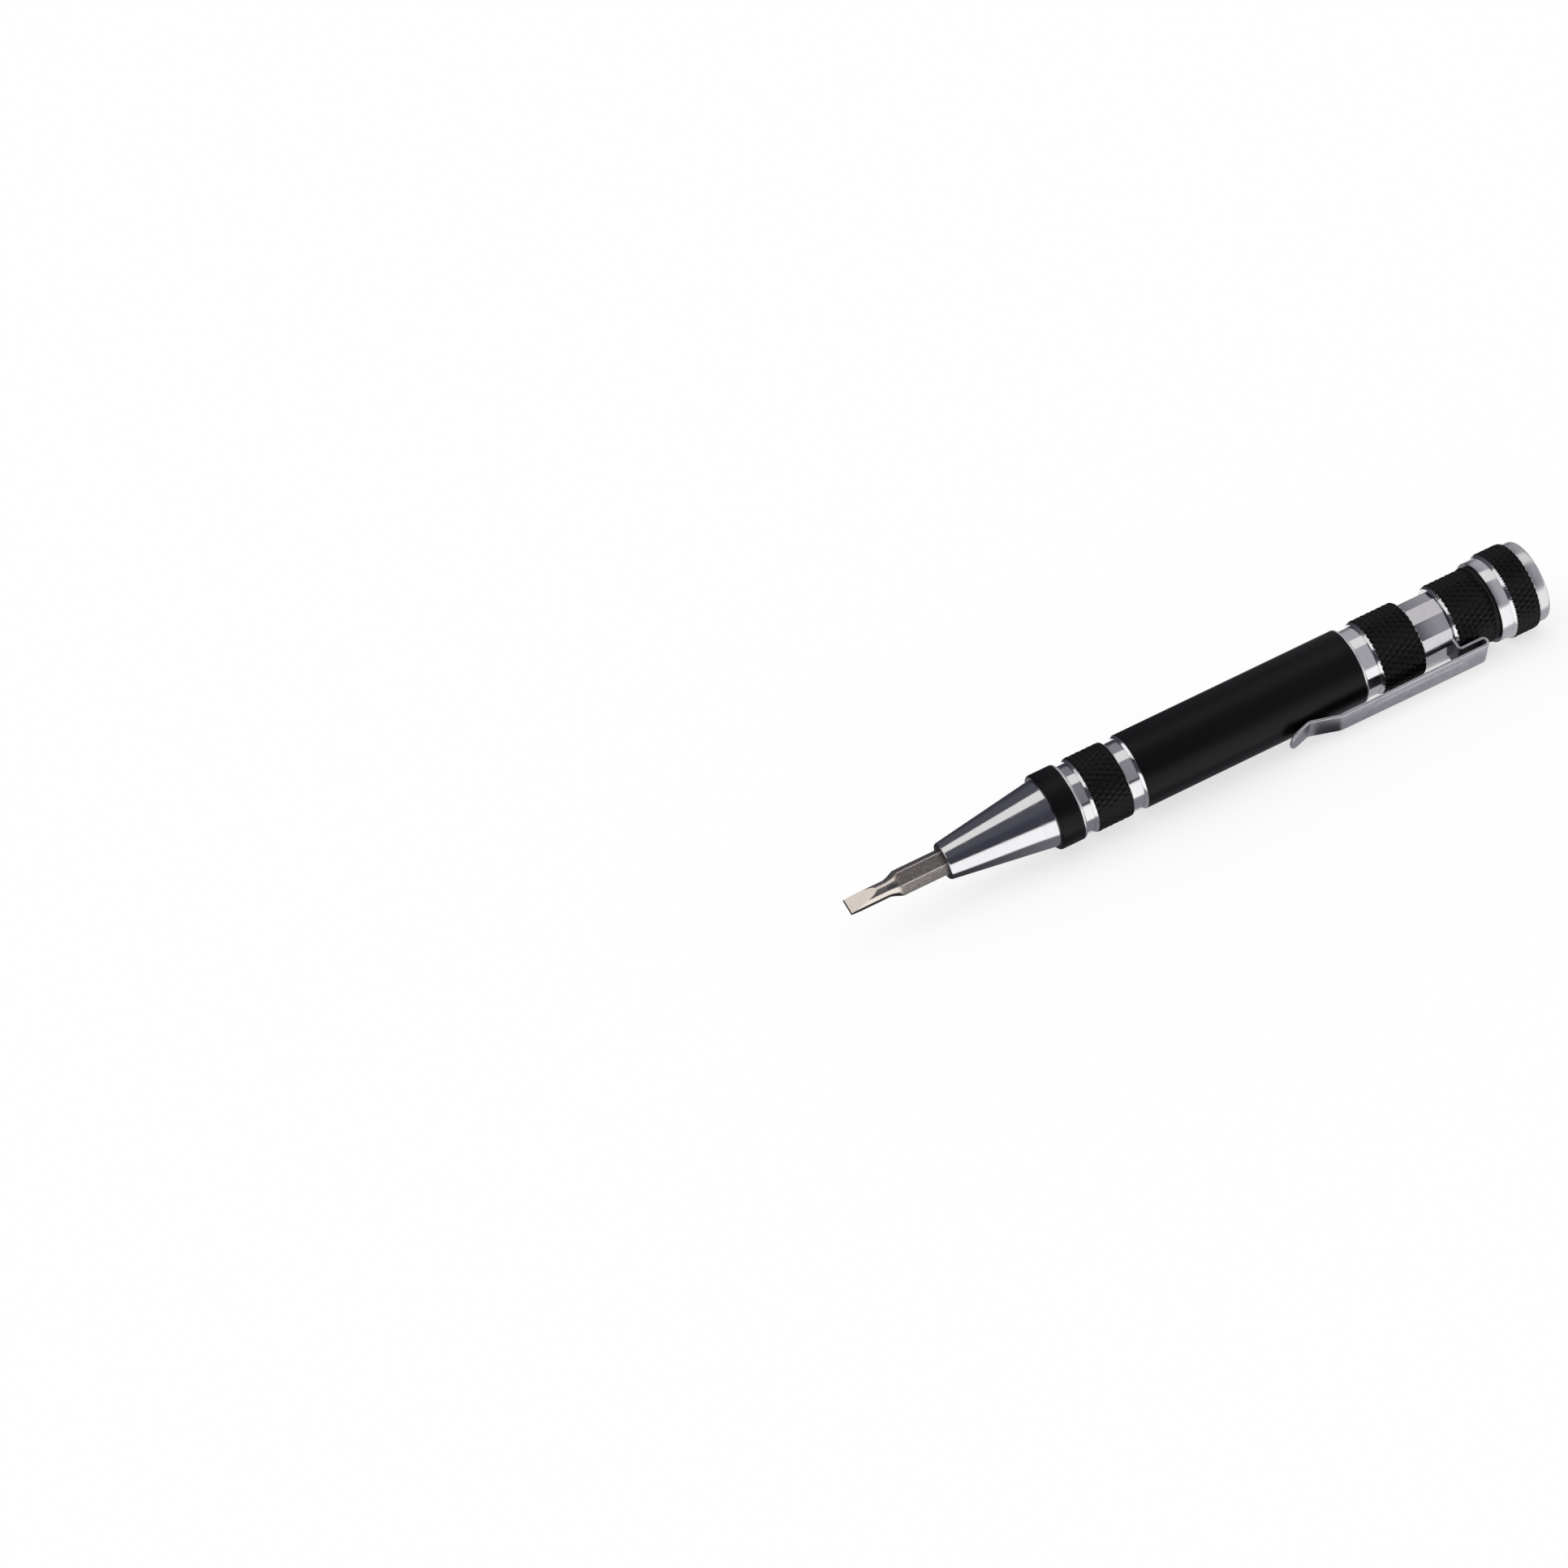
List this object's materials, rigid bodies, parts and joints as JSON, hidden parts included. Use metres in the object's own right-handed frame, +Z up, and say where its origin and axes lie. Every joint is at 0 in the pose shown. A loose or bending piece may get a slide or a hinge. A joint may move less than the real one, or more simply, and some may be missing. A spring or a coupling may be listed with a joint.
{
  "type": "pocket screwdriver",
  "caption": "Pen-sized pocket screwdriver with knurled grip rings, a spring pocket clip, a swivelling finger rest and spare hex bits stored in its barrel.",
  "frame": {"origin": "middle of the tool's footprint on the table it lies on", "axes": "+X along the tool from the bit to the cap, +Z up, clip rolled down on the -Y side"},
  "size_m": [0.1264, 0.0162, 0.0152],
  "materials": {
    "bright_aluminium": "polished, fine turning lines",
    "black_anodised": "satin black anodised, bright cut chamfers",
    "nickel_plate": "nickel plated spring steel",
    "bit_steel": "blasted tool steel, ground blade",
    "socket_steel": "satin",
    "black_rubber": "matte",
    "black_foam": "matte foam"
  },
  "bodies": {
    "barrel": {"nose_cone": "bright_aluminium", "bit_socket": "socket_steel", "socket_magnet": "nickel_plate", "core_tube": "bright_aluminium", "nose_ring": "black_anodised", "front_grip_ring": "black_anodised", "barrel_sleeve": "black_anodised", "rear_grip_ring": "black_anodised", "clip_grip_ring": "black_anodised", "clip_band": "nickel_plate", "spare_slotted_fine": "bit_steel", "spare_slotted_medium": "bit_steel", "spare_cross_tiny": "bit_steel", "spare_cross_small": "bit_steel", "spare_cross_medium": "bit_steel", "spare_cross_large": "bit_steel"},
    "bit": {"driver_bit": "bit_steel"},
    "clip": {"clip_arm": "nickel_plate"},
    "seal": {"cap_seal": "black_rubber"},
    "cap": {"cap_body": "bright_aluminium", "cap_grip_ring": "black_anodised", "cap_pad": "black_foam"},
    "rest": {"finger_rest": "bright_aluminium", "rest_retaining_ring": "socket_steel"}
  },
  "joints": [
    {"name": "bit_pull", "type": "slide", "parent": "barrel", "child": "bit", "axis": [-1, 0, 0], "range_m": [0, 0.012]},
    {"name": "clip_flex", "type": "hinge", "parent": "barrel", "child": "clip", "pos_m": [0.04905, -0.0056, 0.00277], "axis": [0, -0.6218, 0.7831], "range_deg": [0, 6], "stiffness_Nm_per_rad": 1.2},
    {"name": "cap_lift", "type": "slide", "parent": "barrel", "child": "seal", "axis": [1, 0, 0], "range_m": [0, 0.00526]},
    {"name": "cap_turn", "type": "hinge", "parent": "seal", "child": "cap", "pos_m": [0.05405, 0.00048, 0.0076], "axis": [1, 0, 0], "range_deg": [0, 2520]},
    {"name": "rest_spin", "type": "hinge", "parent": "cap", "child": "rest", "pos_m": [0.06125, 0.00048, 0.0076], "axis": [1, 0, 0], "continuous": true}
  ],
  "couplings": [
    {"joint": "cap_lift", "follows": "cap_turn", "m_per_rad": 0.00011937}
  ]
}
